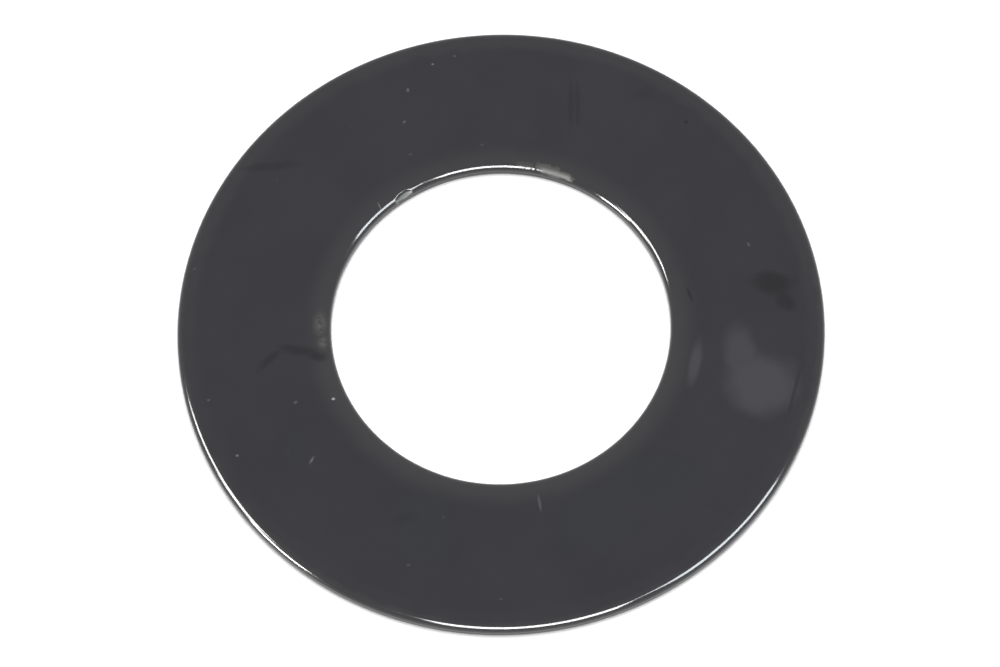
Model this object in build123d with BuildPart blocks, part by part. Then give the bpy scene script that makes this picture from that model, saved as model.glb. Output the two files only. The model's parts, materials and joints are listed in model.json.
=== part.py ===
"""Offset shim: a flat steel ring that slips over a shaft and sets its neighbour a fixed distance along it.

The ring is punched from sheet in one stroke and coated black. Punching draws the sheet down at both
upper corners, so the face rolls over into each wall, and the lower corners keep only the small round
that deburring leaves. The bore's upper corner has been struck once, and that dent is part of the shape.

The frame: +Z is the ring's axis and points up out of the rolled face. The origin is on the axis, in
the plane of the lower face.
"""

import os
from math import atan2, cos, pi, sin

from build123d import *

# Driving dimensions, in millimetres and degrees
outer_diameter = 50.0
bore_diameter = 26.2
thickness = 1.1

roll_width = 0.56  # how far a rolled corner reaches in across the upper face
roll_depth = 0.56  # how far it reaches down the wall
lower_round = 0.12  # radius left on the lower corners

dent_azimuth = 122.8  # where the dent lies around the bore, from +X towards +Y
dent_length = 1.5  # along the bore's corner
dent_depth = 0.12  # at its middle, square to the rolled corner

# Worked out from them
outer_radius = outer_diameter / 2
bore_radius = bore_diameter / 2
roll_base = thickness - roll_depth  # height at which the straight wall ends
roll_middle = pi / 4  # the dent's middle, as an angle round the roll's ellipse

# The ring: one section through the metal, drawn anticlockwise and turned about the axis.
with BuildPart() as shim:
    with BuildSketch(Plane.XZ):
        with BuildLine():
            Line((bore_radius + lower_round, 0), (outer_radius - lower_round, 0))
            CenterArc((outer_radius - lower_round, lower_round), lower_round, 270, 90)
            Line((outer_radius, lower_round), (outer_radius, roll_base))
            EllipticalCenterArc(
                (outer_radius - roll_width, roll_base), roll_width, roll_depth, 0, arc_size=90
            )
            Line((outer_radius - roll_width, thickness), (bore_radius + roll_width, thickness))
            EllipticalCenterArc(
                (bore_radius + roll_width, roll_base), roll_width, roll_depth, 90, arc_size=90
            )
            Line((bore_radius, roll_base), (bore_radius, lower_round))
            CenterArc((bore_radius + lower_round, lower_round), lower_round, 180, 90)
        make_face()
    revolve(axis=Axis.Z)

    # The dent: a ball pressed square into the middle of the bore's rolled corner. Its radius gives
    # the stated length at the stated depth, because half the chord squared is depth * (2 radius - depth).
    ball_radius = (dent_length**2 / 4 + dent_depth**2) / (2 * dent_depth)
    struck_radius = bore_radius + roll_width * (1 - cos(roll_middle))
    struck_height = roll_base + roll_depth * sin(roll_middle)
    slope = atan2(sin(roll_middle) / roll_depth, cos(roll_middle) / roll_width)
    standoff = ball_radius - dent_depth
    with Locations(Rotation(0, 0, dent_azimuth)):
        with Locations(
            (struck_radius - standoff * cos(slope), 0, struck_height + standoff * sin(slope))
        ):
            Sphere(ball_radius, mode=Mode.SUBTRACT)

shim.part.label = "offset_shim"
print(f"volume {shim.part.volume:.2f} mm3, valid {shim.part.is_valid}")

os.makedirs("parts", exist_ok=True)
export_step(shim.part, "parts/offset_shim.step")
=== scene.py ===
# %% [markdown]
# # An offset shim
#
# An offset shim is a flat steel ring. It slips over a shaft and sets the pulley, sprocket or hub beside
# it a fixed distance along. This one was punched from sheet in one stroke, coated glossy black, and
# has been handled and fitted at least once: it is smeared with oil, dusty, and scuffed along its bore.
#
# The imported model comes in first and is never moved. Everything after this line is worked out from it.

# %% Load the fixed frame
import json
import math

import bpy
import numpy as np
from mathutils import Matrix, Vector


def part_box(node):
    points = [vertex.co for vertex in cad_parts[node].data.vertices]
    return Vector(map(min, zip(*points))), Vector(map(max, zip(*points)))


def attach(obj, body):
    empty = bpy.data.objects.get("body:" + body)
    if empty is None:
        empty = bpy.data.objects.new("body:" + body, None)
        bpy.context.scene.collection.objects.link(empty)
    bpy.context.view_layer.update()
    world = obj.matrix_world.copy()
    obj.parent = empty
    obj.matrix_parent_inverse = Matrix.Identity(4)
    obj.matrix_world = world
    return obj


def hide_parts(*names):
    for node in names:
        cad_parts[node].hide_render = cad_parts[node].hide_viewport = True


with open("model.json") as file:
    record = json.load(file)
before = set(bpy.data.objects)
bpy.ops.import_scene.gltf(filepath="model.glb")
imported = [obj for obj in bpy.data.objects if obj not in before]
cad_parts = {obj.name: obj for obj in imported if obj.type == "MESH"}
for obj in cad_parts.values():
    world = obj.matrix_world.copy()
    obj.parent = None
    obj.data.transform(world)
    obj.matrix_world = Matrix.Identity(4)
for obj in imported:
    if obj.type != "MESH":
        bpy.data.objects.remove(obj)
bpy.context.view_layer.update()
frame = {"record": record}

# %% [markdown]
# ## Sizes
#
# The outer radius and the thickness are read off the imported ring, and the bore's radius off its mount.
# The sizes of the corners and of the dent are the ones that the ring was drawn with.

# %% Sizes, in metres
MM = 0.001
low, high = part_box("offset_shim")
outer_radius = (high.x - low.x) / 2
thickness = high.z - low.z
bore_radius = MM * next(
    mount["dims"]["r_mm"] for mount in frame["record"]["mounts"] if mount["name"] == "bore"
)
roll_width = 0.56 * MM  # how far a rolled corner reaches in across the upper face
roll_depth = 0.56 * MM  # how far it reaches down the wall
lower_round = 0.12 * MM
dent_azimuth = math.radians(122.8)
dent_length, dent_depth = 1.5 * MM, 0.12 * MM
print(f"outer {outer_radius / MM:.2f}, bore {bore_radius / MM:.2f}, thickness {thickness / MM:.2f} mm")

# %% [markdown]
# ## The camera
#
# A catalogue picture of a small flat part is taken with a long lens from high up, so that the ring
# shows as a nearly round ellipse and the near edge still shows its wall. The camera is made before the
# object, because it depends on the ring's size alone.

# %% The camera
view_elevation = math.radians(67.5)
view_roll = math.radians(2.22)
view_distance = 13.04 * outer_radius
aim_right, aim_up = -0.0033 * outer_radius, -0.0279 * outer_radius
lens_mm, nearest_seen = 152.05, 0.01
outline_share = 0.617  # how far down the rolled corner its outline lies, seen from this high
rim_height = thickness - outline_share * roll_depth


def make_camera():
    """The camera looks down at its aim from the near side, -Y. Its axes are right, up and back; the
    roll turns the first two about the third. The aim is a point beside the ring's centre."""
    right = Vector((1, 0, 0))
    up = Vector((0, math.sin(view_elevation), math.cos(view_elevation)))
    back = Vector((0, -math.cos(view_elevation), math.sin(view_elevation)))
    aim = Vector((0, 0, rim_height)) + aim_right * right + aim_up * up
    rolled_right = math.cos(view_roll) * right - math.sin(view_roll) * up
    rolled_up = math.sin(view_roll) * right + math.cos(view_roll) * up
    camera = bpy.data.objects.new("camera", bpy.data.cameras.new("camera"))
    axes = Matrix((rolled_right, rolled_up, back)).transposed()
    camera.matrix_world = Matrix.Translation(aim + view_distance * back) @ axes.to_4x4()
    camera.data.lens = lens_mm
    camera.data.clip_start = nearest_seen
    bpy.context.scene.collection.objects.link(camera)
    bpy.context.scene.camera = camera
    return camera


camera = make_camera()
print("camera at", [round(x, 4) for x in camera.location])

# %% [markdown]
# ## The ring's section
#
# The ring is a surface of two parameters: one runs round the cut edge of the metal, and the other, the
# azimuth, runs round the shim. Punching rolls the upper corners over in a quarter of an ellipse and
# leaves the lower corners nearly square. A bevelled cylinder would be quicker, but here the same
# corner has to carry a dent, a scuff and the waver of a punched edge, and those need a fine grid
# whose points are where the curve is tightest.

# %% The section
def arc(centre, radii, start, stop, steps):
    """Points on an ellipse: centre plus radii times (cos, sin) of an angle that goes from start to
    stop, in degrees. The last point is left to the next stretch."""
    angle = np.radians(np.linspace(start, stop, steps, endpoint=False))
    return np.stack([centre[0] + radii[0] * np.cos(angle), centre[1] + radii[1] * np.sin(angle)], 1)


def run(start, stop, steps):
    """Points on a straight line from start to stop, without its last point."""
    share = np.linspace(0, 1, steps, endpoint=False)[:, None]
    return np.array(start) + share * (np.array(stop) - np.array(start))


roll_base = thickness - roll_depth
marked_width = 1.6 * MM  # the strip of upper face beside the bore, where crumbs of residue stand up
LOWER_STEPS, WALL_STEPS, UPPER_STEPS, MARKED_STEPS = 6, 3, 8, 16
SMALL_ROUND_STEPS, ROLL_STEPS = 4, 18


def ring_section():
    """The cut edge of the metal as (radius, height) points, anticlockwise from the bore's lower
    corner: lower face, outer corner, outer wall, outer roll, upper face, bore roll, wall, corner."""
    roll, small = (roll_width, roll_depth), (lower_round, lower_round)
    outer_roll, bore_roll = outer_radius - roll_width, bore_radius + roll_width
    outer_corner, bore_corner = outer_radius - lower_round, bore_radius + lower_round
    return np.concatenate([
        run((bore_corner, 0), (outer_corner, 0), LOWER_STEPS),
        arc((outer_corner, lower_round), small, 270, 360, SMALL_ROUND_STEPS),
        run((outer_radius, lower_round), (outer_radius, roll_base), WALL_STEPS),
        arc((outer_roll, roll_base), roll, 0, 90, ROLL_STEPS),
        run((outer_roll, thickness), (bore_roll + marked_width, thickness), UPPER_STEPS),
        run((bore_roll + marked_width, thickness), (bore_roll, thickness), MARKED_STEPS),
        arc((bore_roll, roll_base), roll, 90, 180, ROLL_STEPS),
        run((bore_radius, roll_base), (bore_radius, lower_round), WALL_STEPS),
        arc((bore_corner, lower_round), small, 180, 270, SMALL_ROUND_STEPS),
    ])


section = ring_section()
print("points in the section:", len(section))

# %% [markdown]
# ## Damage that changes the shape
#
# Three marks lie along the bore's upper corner: a dent from a blow, a stretch scuffed by the end of a
# shaft, and crumbs of dried residue. They are shape and not only colour, so they are pressed into the
# grid. Small ones lift each point along the outward normal by a sum of soft bumps, and the dent pushes
# points off a ball. A bump map would be cheaper, but it leaves the outline of the corner untouched.

# %% Soft steps, stretches and wavers
STEPS_ROUND = 1200
azimuth = np.linspace(0, 2 * np.pi, STEPS_ROUND, endpoint=False)


def section_normals(points):
    """Outward normals of a closed section: the tangent between the two neighbours, turned right."""
    tangent = np.roll(points, -1, 0) - np.roll(points, 1, 0)
    normal = np.stack([tangent[:, 1], -tangent[:, 0]], 1)
    return normal / np.linalg.norm(normal, axis=1, keepdims=True)


def soft_step(value, start, stop):
    """0 below start and 1 above stop, with 3t^2 - 2t^3 between them."""
    t = np.clip((value - start) / (stop - start), 0, 1)
    return t * t * (3 - 2 * t)


def stretch(start, stop, fade):
    """1 between two azimuths in degrees and 0 outside them, with soft ends fade degrees long."""
    middle, half = (start + stop) / 2, (stop - start) / 2
    away = np.abs((np.degrees(azimuth) - middle + 180) % 360 - 180)
    return 1 - soft_step(away, half - fade, half + fade)


def waver(seed, waves, size):
    """A wavy line round the ring: the sum of cosines with random phases, each weaker than the last."""
    random = np.random.default_rng(seed)
    phase = random.uniform(0, 2 * np.pi, len(waves))
    height = size * random.uniform(0.4, 1.0, len(waves)) / np.sqrt(np.arange(1, len(waves) + 1))
    return (height[:, None] * np.cos(np.outer(waves, azimuth) + phase[:, None])).sum(0)


# %% How far each point is lifted
FACES_UP, NEARLY_FLAT = 0.01, 0.2  # the least upward part of a normal that counts as such
EDGE_WAVER = 0.004 * MM
LIGHT_SCORING = 0.6  # of the depth that the scores have where they are deepest
normals = section_normals(section)
upward = normals[:, 1]
on_bore_roll = (section[:, 0] < bore_radius + roll_width) & (upward > FACES_UP)
on_outer_roll = (section[:, 0] > outer_radius - roll_width) & (upward > FACES_UP)
corner = np.where(on_bore_roll | on_outer_roll, 4 * upward**2 * (1 - upward**2), 0)


def scuffed_stretch():
    """Fine sideways scores on the bore's roll, deepest where the shaft's end caught it."""
    scores = waver(7, np.array([88, 131, 187, 241, 293]), 0.006 * MM)
    light_scores = stretch(64, 77, 1.2) * LIGHT_SCORING * scores
    deep_scores = stretch(77, 83, 0.8) * scores
    return np.outer(light_scores + deep_scores, corner * on_bore_roll)


def crumbs(seed, count, start, stop, nearest, furthest, size, height):
    """Round crumbs beside the bore: at each, height * exp(-(distance / size)^2), never added up but
    the highest taken."""
    random = np.random.default_rng(seed)
    place = random.uniform((start, nearest), (stop, furthest), (count, 2))
    crumb_size = size * random.uniform(0.6, 1.3, count)
    crumb_height = height * random.uniform(0.4, 1.0, count)
    arm = section[:, 0]
    turned = azimuth[:, None] - np.radians(place[:, 0])
    sideways = (arm[None, :, None] * turned[:, None, :]) / crumb_size
    inward = (arm[:, None] - (bore_radius + place[:, 1])) / crumb_size
    bump = crumb_height * np.exp(-(sideways**2) - inward**2)
    return bump.max(-1) * (upward > NEARLY_FLAT)


lift = np.outer(waver(3, np.array([5, 9, 14, 23, 41]), EDGE_WAVER), corner * on_outer_roll)
lift += np.outer(waver(4, np.array([4, 7, 11, 19, 37]), EDGE_WAVER), corner * on_bore_roll)
lift += scuffed_stretch()
lift += crumbs(seed=11, count=26, start=173, stop=184, nearest=0.15 * MM, furthest=1.3 * MM,
               size=0.16 * MM, height=0.014 * MM)
print(f"lowest {lift.min() / MM:.3f} mm, highest {lift.max() / MM:.3f} mm")

# %% Press the dent
def press_ball(points):
    """A ball is pressed square into the middle of the bore's rolled corner, so every point inside it
    moves straight away from its centre, out to its surface. Its radius gives the dent's length at the
    dent's depth, because half the chord squared is depth * (2 radius - depth)."""
    ball = (dent_length**2 / 4 + dent_depth**2) / (2 * dent_depth)
    middle = math.pi / 4
    slope = math.atan2(math.sin(middle) / roll_depth, math.cos(middle) / roll_width)
    reach = bore_radius + roll_width * (1 - math.cos(middle)) - (ball - dent_depth) * math.cos(slope)
    height = roll_base + roll_depth * math.sin(middle) + (ball - dent_depth) * math.sin(slope)
    centre = np.array([reach * math.cos(dent_azimuth), reach * math.sin(dent_azimuth), height])
    offset = points - centre
    distance = np.linalg.norm(offset, axis=-1, keepdims=True)
    print(f"ball of {ball / MM:.2f} mm, points pushed: {(distance < ball).sum()}")
    return np.where(distance < ball, centre + offset * ball / distance, points)


# %% Make the ring
TALLEST_CRUMB = 0.05 * MM


def make_ring():
    """The surface: (r cos a, r sin a, z) for every azimuth a and every (r, z) of the section, after
    each point has moved by its lift along the section's normal. Both directions close on themselves."""
    radius = section[:, 0] + lift * normals[:, 0]
    height = np.minimum(section[:, 1] + lift * normals[:, 1], thickness + TALLEST_CRUMB)
    points = press_ball(np.stack(
        [radius * np.cos(azimuth)[:, None], radius * np.sin(azimuth)[:, None], height], -1
    ))
    index = np.arange(radius.size).reshape(radius.shape)
    beside = np.roll(index, -1, 0)
    quads = np.stack([index, beside, np.roll(beside, -1, 1), np.roll(index, -1, 1)], -1).reshape(-1, 4)
    mesh = bpy.data.meshes.new("shim_ring")
    mesh.from_pydata(points.reshape(-1, 3), [], quads.tolist())
    mesh.shade_smooth()
    mesh.update()
    ring = bpy.data.objects.new("shim_ring", mesh)
    bpy.context.scene.collection.objects.link(ring)
    return ring


ring = make_ring()
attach(ring, "root")
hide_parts("offset_shim")
print("triangles in the ring:", 2 * len(ring.data.polygons))

# %% [markdown]
# ## Helpers for materials
#
# A node material is a small program. These helpers keep each line of it short: one adds a node, one
# does arithmetic, one makes a soft step, and one lays a colour over another. Every pattern reads
# Object coordinates, turned into millimetres here, so that sizes can be written as a maker would.

# %% Node helpers
def node(tree, kind, inputs=(), **properties):
    """Add a node. inputs maps socket names or numbers to values, or to the sockets that feed them."""
    made = tree.nodes.new("ShaderNode" + kind)
    for name, value in properties.items():
        setattr(made, name, value)
    for key, value in dict(inputs).items():
        if isinstance(value, bpy.types.NodeSocket):
            tree.links.new(value, made.inputs[key])
        else:
            made.inputs[key].default_value = value
    return made


def new_material(name):
    material = bpy.data.materials.new(name)
    material.use_nodes = True
    material.node_tree.nodes.clear()
    return material, material.node_tree


def sums(tree, operation, *values):
    return node(tree, "Math", dict(enumerate(values)), operation=operation).outputs[0]


def fade(tree, value, start, stop, low=0.0, high=1.0):
    """low where value is at start and high where it is at stop, with a smooth step between."""
    return node(tree, "MapRange", {0: value, 1: start, 2: stop, 3: low, 4: high},
                interpolation_type="SMOOTHSTEP").outputs[0]


def laid_over(tree, amount, under, over):
    return node(tree, "Mix", {0: amount, 6: under, 7: over}, data_type="RGBA").outputs[2]


def noise(tree, place, size, detail=3.0, roughness=0.55):
    """Soft random patches of about size millimetres, between 0 and 1."""
    return node(tree, "TexNoise", {"Vector": place, "Scale": 1 / size, "Detail": detail,
                                   "Roughness": roughness}).outputs["Fac"]


# %% [markdown]
# ## Marks
#
# A mark is an ellipse on the face with a soft, ragged rim, laid out as on a plan of the ring seen from
# above: the place of its middle, half its length, half its width, and which way its length points. A
# Mapping node in Texture mode carries the ellipse to a unit circle, and the distance from its middle
# then says how much of the mark covers a point. An image of dirt would repeat or blur. This stays
# sharp at any size.

# %% One mark
ANY_HEIGHT = 1000  # so tall an ellipse that a mark covers every height


def mark(tree, place, grain, x, y, half_length, half_width, points_to, soft, ragged):
    """1 inside the ellipse and 0 outside it, in millimetres and degrees. grain, a noise of mean 0,
    pushes the rim in and out."""
    carried = node(tree, "Mapping", {
        "Vector": place,
        "Location": (x, y, 0),
        "Rotation": (0, 0, math.radians(points_to)),
        "Scale": (half_length, half_width, ANY_HEIGHT),
    }, vector_type="TEXTURE").outputs[0]
    reach = node(tree, "VectorMath", {0: carried}, operation="LENGTH").outputs["Value"]
    reach = sums(tree, "MULTIPLY_ADD", grain, ragged, reach)
    return fade(tree, reach, 1 + soft, 1 - soft)


def marks(tree, place, grain, rows):
    """The strongest of several marks at each point. Each row is a strength and then mark()'s values."""
    total = None
    for strength, *shape in rows:
        one = sums(tree, "MULTIPLY", mark(tree, place, grain, *shape), strength)
        total = one if total is None else sums(tree, "MAXIMUM", total, one)
    return total


# %% Where the marks are
# Each row: strength, x, y, half length, half width, the way the length points, softness, raggedness
DARK_SMEARS = [
    (1.00, 21.15, 2.42, 1.50, 0.90, -5, 0.5, 1.1),  # finger mark by the right-hand rim, and its tail
    (0.80, 22.09, 0.90, 0.90, 0.55, -60, 0.6, 1.6),
    (0.90, 14.67, 1.77, 0.60, 0.12, -72, 0.5, 0.4),
    (1.00, 15.20, 16.45, 0.16, 0.16, 0, 0.5, 0.4),
    (0.30, 12.00, 19.05, 0.70, 0.50, 0, 0.7, 1.6),
    (0.45, 6.18, 18.40, 2.10, 0.22, 88, 0.6, 0.8),  # two upright wipes
    (0.45, 6.72, 18.30, 1.90, 0.20, 88, 0.6, 0.8),
    (0.50, -17.80, 14.00, 2.00, 0.34, 3, 0.6, 1.2),
    (0.70, -17.78, -2.24, 1.20, 0.30, 44, 0.6, 1.0),  # an arch of oil that runs to the bore
    (0.75, -15.50, -1.65, 1.70, 0.38, -12, 0.6, 1.2),
    (0.80, -14.20, -2.20, 0.80, 0.40, -10, 0.6, 1.2),
    (0.35, -7.56, -15.64, 0.80, 0.50, 0, 0.7, 1.6),
    (0.55, 22.25, -6.60, 1.75, 0.12, 73, 0.5, 0.4),
]
PALE_SMUDGES = [
    (1.00, 19.75, -5.90, 2.60, 2.35, -20, 0.4, 1.0),
    (0.85, 18.40, -3.60, 2.40, 1.20, 95, 0.45, 0.8),
    (0.95, 14.80, -3.95, 1.60, 0.44, 76, 0.45, 0.8),
]
OIL_FILMS = [
    (1.0, -6.41, -16.97, 2.0, 2.6, 0, 0.6, 1.5),
    (1.0, 6.89, -16.50, 2.5, 2.5, 0, 0.6, 1.5),
    (1.0, 11.27, -13.52, 3.1, 1.9, 0, 0.6, 1.5),
    (0.4, -16.16, -9.66, 0.9, 2.0, 0, 0.6, 1.5),
]
DUST_SPECKS_AND_GLINTS = [
    (0.110, 19.47, 5.76, 0.18, 0.08, -60, 0.6, 0.3), (0.100, -2.84, 23.01, 0.09, 0.09, 0, 0.6, 0.3),
    (0.280, -4.58, 22.37, 0.09, 0.07, 0, 0.6, 0.3), (0.150, -6.61, 20.19, 0.16, 0.10, 90, 0.6, 0.3),
    (0.120, -6.96, 17.43, 0.14, 0.10, 40, 0.6, 0.3), (0.045, -6.56, 14.59, 0.14, 0.10, 0, 0.6, 0.3),
    (0.045, -0.91, 15.18, 0.14, 0.10, 0, 0.6, 0.3), (0.070, -23.58, 5.52, 0.09, 0.09, 0, 0.6, 0.3),
    (0.100, -22.60, -5.49, 0.11, 0.08, 10, 0.6, 0.3), (0.290, -20.45, -10.12, 0.10, 0.08, 0, 0.6, 0.3),
    (0.130, -15.93, -5.94, 0.14, 0.09, 30, 0.6, 0.3), (0.700, -13.03, -5.78, 0.12, 0.09, 0, 0.6, 0.3),
    (0.160, -14.78, -10.72, 0.30, 0.09, 60, 0.6, 0.3), (0.070, -7.66, -19.48, 0.14, 0.08, 0, 0.6, 0.3),
    (0.040, -4.89, -15.74, 0.10, 0.10, 0, 0.6, 0.3), (0.070, -0.78, -22.45, 0.12, 0.07, 0, 0.6, 0.3),
    (0.090, 2.42, -14.91, 0.62, 0.11, 97, 0.6, 0.6), (0.250, -9.09, 10.24, 0.30, 0.045, -68, 0.6, 0.2),
    # the two specks on this line lie at the ends of the dent and are painted glints
    (0.350, -7.74, 10.69, 0.13, 0.10, 35, 0.6, 0.3), (0.150, -6.57, 11.45, 0.10, 0.08, 30, 0.6, 0.3),
]
SCUFFS = [
    (1.00, 4.62, 12.66, 1.45, 0.40, -27, 0.3, 1.9),  # where a shaft's end dragged along the bore
    (0.50, 2.41, 13.40, 0.85, 0.22, -10, 0.5, 1.4),
    (1.00, -7.11, 11.02, 0.72, 0.27, 33, 0.35, 0.8),  # inside the dent
]
RESIDUE = [
    (1.00, -13.90, 0.45, 0.95, 0.50, 90, 0.6, 1.6),
    (1.00, -13.74, -1.05, 0.50, 0.40, 90, 0.6, 1.6),
]
TABLES = (DARK_SMEARS, PALE_SMUDGES, OIL_FILMS, DUST_SPECKS_AND_GLINTS, SCUFFS, RESIDUE)
print("marks on the face:", sum(len(table) for table in TABLES))

# %% [markdown]
# ## The black coating
#
# The finish is a thin glossy black coat on smooth steel. What the eye reads as black is mostly the
# reflection of the room, about a thirtieth of its light, over a pigment that sends back half that
# again. Handling shows in four ways: dark smears of oil, pale smudges where it dried, dust, and bare
# scuffed coat along the bore. Two of the specks, at the ends of the dent, are painted glints. The coat
# is also painted paler towards both rims, most by the far outer edge and the near bore edge, as
# painted glare. All of it is mixed into one base colour, and the same masks make those places rougher.

# %% Colours and dulling of the coating
COAT, COAT_IN_PATCHES = (0.0155, 0.0140, 0.0210, 1), (0.0180, 0.0165, 0.0240, 1)
OIL_FILM = (0.0130, 0.0180, 0.0220, 1)
# painted glare: a paler colour laid over the coat towards both rims
RIM_GLARE_PAINT = (0.0350, 0.0345, 0.0375, 1)
PALE_SMUDGE = (0.0455, 0.0435, 0.0510, 1)
DARK_SMEAR = (0.0020, 0.0012, 0.0045, 1)
DRY_CRUMBS = (0.060, 0.060, 0.058, 1)
BARE_SCUFF = (0.036, 0.037, 0.031, 1)
# also the colour of two painted glints at the ends of the dent
DUST_AND_GLINT = (0.55, 0.55, 0.54, 1)
SMOOTHEST, ROUGHEST = 0.085, 0.125
SCUFF_DULLING, SMUDGE_DULLING, UNDERSIDE_DULLING = 0.45, 0.06, 0.30
COAT_IOR = 1.45
print("the coat reflects", [round(part, 4) for part in COAT[:3]], "and the dust", DUST_AND_GLINT[:3])


# %% The black coating
def black_coating():
    material, tree = new_material("black_coating")
    metres = node(tree, "TexCoord").outputs["Object"]
    place = node(tree, "VectorMath", {0: metres, "Scale": 1 / MM}, operation="SCALE").outputs[0]
    x, y, z = node(tree, "SeparateXYZ", {0: place}).outputs
    x_squared = sums(tree, "MULTIPLY", x, x)
    radius = sums(tree, "SQRT", sums(tree, "ADD", x_squared, sums(tree, "MULTIPLY", y, y)))
    upper = fade(tree, z, 0.35, 0.6)
    patches = noise(tree, place, 6.0)
    grain = sums(tree, "SUBTRACT", noise(tree, place, 1.5, 2.0, 0.5), 0.5)
    grit = sums(tree, "SUBTRACT", noise(tree, place, 0.45, 4.0, 0.6), 0.5)

    def masked(rows, rim_noise=grain):
        return sums(tree, "MULTIPLY", marks(tree, place, rim_noise, rows), upper)

    outer, bore = outer_radius / MM, bore_radius / MM
    wavy_radius = sums(tree, "MULTIPLY_ADD", grain, 0.7, radius)
    # painted glare: paler bands by the outer rim, strongest on the far side, and by the bore, strongest
    # on the near side
    broad_band = sums(tree, "MULTIPLY", fade(tree, wavy_radius, outer - 1.9, outer - 0.9, 0.0, 0.5),
                      fade(tree, y, -10.0, 10.0, 0.35, 1.0))
    edge_band = fade(tree, wavy_radius, outer - 0.9, outer - 0.3, 0.0, 0.8)
    outer_rim_glare = sums(tree, "MAXIMUM", broad_band, edge_band)
    bore_rim_glare = sums(tree, "MULTIPLY", fade(tree, wavy_radius, bore + 2.4, bore + 0.4),
                     fade(tree, y, -6.0, 6.0, 0.95, 0.75))
    rim = sums(tree, "MAXIMUM", outer_rim_glare, bore_rim_glare)
    broad = sums(tree, "SUBTRACT", noise(tree, place, 3.0, 2.0, 0.5), 0.5)
    dark, pale, film = masked(DARK_SMEARS), masked(PALE_SMUDGES, broad), masked(OIL_FILMS, broad)
    specks, scuffs, residue = masked(DUST_SPECKS_AND_GLINTS), masked(SCUFFS, grit), masked(RESIDUE, grit)

    fine_dust = node(tree, "TexVoronoi", {"Vector": place, "Scale": 1.1, "Randomness": 1.0})
    dust = sums(tree, "MULTIPLY", fade(tree, fine_dust.outputs["Distance"], 0.055, 0.02),
                fade(tree, noise(tree, place, 4.0), 0.45, 0.75, 0.0, 0.14))

    colour = laid_over(tree, fade(tree, patches, 0.35, 0.65), COAT, COAT_IN_PATCHES)
    colour = laid_over(tree, sums(tree, "MULTIPLY", film, 0.9), colour, OIL_FILM)
    # painted glare towards both rims
    colour = laid_over(tree, rim, colour, RIM_GLARE_PAINT)
    colour = laid_over(tree, pale, colour, PALE_SMUDGE)
    colour = laid_over(tree, dark, colour, DARK_SMEAR)
    crumbled = sums(tree, "MULTIPLY", residue, fade(tree, grit, -0.28, 0.16))
    colour = laid_over(tree, crumbled, colour, DRY_CRUMBS)
    colour = laid_over(tree, scuffs, colour, BARE_SCUFF)
    # dust, and two painted glints at the ends of the dent
    colour = laid_over(tree, sums(tree, "MAXIMUM", specks, dust), colour, DUST_AND_GLINT)

    rough = fade(tree, noise(tree, place, 3.0, 4.0), 0.3, 0.7, SMOOTHEST, ROUGHEST)
    bare = sums(tree, "MAXIMUM", scuffs, specks)
    dulled = sums(tree, "MAXIMUM", bare, sums(tree, "MULTIPLY", crumbled, 0.8))
    rough = sums(tree, "MULTIPLY_ADD", dulled, SCUFF_DULLING, rough)
    rough = sums(tree, "MULTIPLY_ADD", pale, SMUDGE_DULLING, rough)
    underside = fade(tree, z, 0.06, 0.0)
    hidden = sums(tree, "MULTIPLY", underside, patches)
    rough = sums(tree, "MULTIPLY_ADD", hidden, UNDERSIDE_DULLING, rough)

    skin = node(tree, "Bump", {"Strength": 0.12, "Distance": 0.02 * MM,
                               "Height": noise(tree, place, 0.8, 2.0)}).outputs[0]
    shader = node(tree, "BsdfPrincipled", {
        "Base Color": colour,
        "Roughness": rough,
        "IOR": COAT_IOR,
        "Normal": skin,
    })
    node(tree, "OutputMaterial", {"Surface": shader.outputs[0]})
    print("nodes in the coating:", len(tree.nodes))
    return material


ring.data.materials.append(black_coating())

# %% [markdown]
# ## Floor and light
#
# The ring lies on plain white paper under plain soft light. The paper is a matt grey that is lit, so it
# takes the ring's shadow, mixed with a share of light of its own that only the camera and mirrors see,
# so that it reads as white without throwing more light on the ring. One large lamp lights the paper
# alone, from almost straight above, which leaves the short soft shadow that a lightbox gives.

# %% Floor
def seen_or_mirrored(tree):
    """1 for rays from the camera and for those that gloss or glass sends on, 0 for all others."""
    path = node(tree, "LightPath").outputs
    seen = sums(tree, "MAXIMUM", path["Is Camera Ray"], path["Is Glossy Ray"])
    return sums(tree, "MAXIMUM", seen, path["Is Transmission Ray"])


def make_floor(half=1.5, grey=0.8, glow_share=0.2):
    """A square of paper, half metres from its middle to each side, with a share that glows white."""
    mesh = bpy.data.meshes.new("floor")
    corners = [(-half, -half, 0), (half, -half, 0), (half, half, 0), (-half, half, 0)]
    mesh.from_pydata(corners, [], [(0, 1, 2, 3)])
    floor = bpy.data.objects.new("floor", mesh)
    bpy.context.scene.collection.objects.link(floor)
    material, tree = new_material("floor")
    paper = node(tree, "BsdfDiffuse", {"Color": (grey, grey, grey, 1)})
    glow = node(tree, "Emission", {"Color": (1, 1, 1, 1), "Strength": seen_or_mirrored(tree)})
    mixed = node(tree, "MixShader", {0: glow_share, 1: paper.outputs[0], 2: glow.outputs[0]})
    node(tree, "OutputMaterial", {"Surface": mixed.outputs[0]})
    mesh.materials.append(material)
    return floor


floor = make_floor()
print("floor made, with sides of", 2 * floor.data.vertices[1].co.x, "m")

# %% World
def make_world(strength):
    """A white room: it lights at strength, and shows and mirrors as plain white."""
    world = bpy.data.worlds.new("world")
    bpy.context.scene.world = world
    world.use_nodes = True
    tree = world.node_tree
    tree.nodes.clear()
    level = node(tree, "MapRange", {0: seen_or_mirrored(tree), 3: strength, 4: 1.0})
    light = node(tree, "Background", {"Color": (1, 1, 1, 1), "Strength": level.outputs[0]})
    node(tree, "OutputWorld", {"Surface": light.outputs[0]})


make_world(strength=0.7)
print("world:", bpy.context.scene.world.name)

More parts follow.
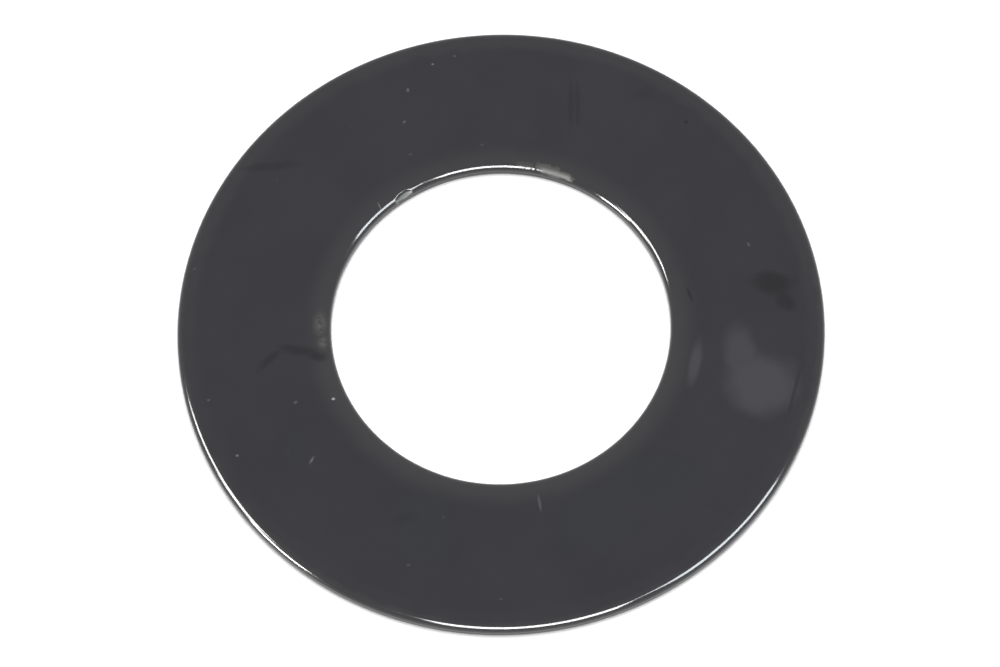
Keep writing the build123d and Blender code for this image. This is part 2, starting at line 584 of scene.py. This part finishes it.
# %% [markdown]
# ## Lamps
#
# A glossy black part shows its edges only by what they mirror, so the room has bright windows on three
# sides, and the one on the left steps down in three panels. Each panel is given as the stretch of
# azimuth and of elevation that it fills, seen from the ring. They are mirrored but light no matt
# surface, so they don't change how dark the coating looks.

# %% Lamps
def softbox(name, start, stop, bottom, top, level, colour=(1, 1, 1), distance=0.6):
    """A flat panel that faces the ring and fills azimuths start to stop and elevations bottom to top,
    in degrees. level is how bright it looks, where 1 is white: a panel's power is 4 times its area
    times that."""
    around, above = math.radians((start + stop) / 2), math.radians((bottom + top) / 2)
    lamp = bpy.data.lights.new(name, "AREA")
    lamp.shape = "RECTANGLE"
    lamp.size = 2 * distance * math.cos(above) * math.tan(math.radians((stop - start) / 2))
    lamp.size_y = 2 * distance * math.tan(math.radians((top - bottom) / 2))
    lamp.energy = 4 * lamp.size * lamp.size_y * level
    lamp.color = colour
    towards = Vector((
        math.cos(around) * math.cos(above), math.sin(around) * math.cos(above), math.sin(above)
    ))
    panel = bpy.data.objects.new(name, lamp)
    panel.location = distance * towards
    panel.rotation_euler = towards.to_track_quat("Z", "Y").to_euler()
    bpy.context.scene.collection.objects.link(panel)
    return panel


key = softbox("key", 58, 122, 43, 77, 1.6, distance=0.8)
key.visible_glossy = False
paper_light = softbox("paper_light", 30, 150, 66, 94, 9.0, distance=0.8)
paper_light.visible_glossy = False
floor_alone = bpy.data.collections.new("floor_alone")
floor_alone.objects.link(floor)
paper_light.light_linking.receiver_collection = floor_alone


def only_mirrored(panel):
    """The panel lights no matt surface, and isn't seen by light that has already left one, so the
    ring's walls don't throw its glare onto the paper."""
    panel.visible_diffuse = False
    panel.data.use_nodes = True
    tree = panel.data.node_tree
    tree.nodes.clear()
    bounces = node(tree, "LightPath").outputs["Diffuse Depth"]
    glow = node(tree, "Emission", {"Strength": sums(tree, "LESS_THAN", bounces, 0.5)})
    node(tree, "OutputLight", {"Surface": glow.outputs[0]})


# Each row: name, azimuths from and to, elevations from and to, level, colour
WINDOWS = [
    ("window_left", 166, 186, 28, 50, 26, (1.0, 0.98, 0.95)),
    ("window_mid_left", 186, 201, 17, 46, 26, (1.0, 0.98, 0.95)),
    ("window_low_left", 201, 218, 0, 20, 46, (1.0, 0.98, 0.95)),
    ("window_front", 249, 300, 26, 54, 28, (1, 1, 1)),
    ("window_right", 311, 350, 26, 56, 18, (0.9, 0.96, 1.0)),
]
for window in WINDOWS:
    only_mirrored(softbox(*window))
print("lamps:", len(bpy.data.lights))

bpy.context.scene.view_settings.view_transform = "Standard"
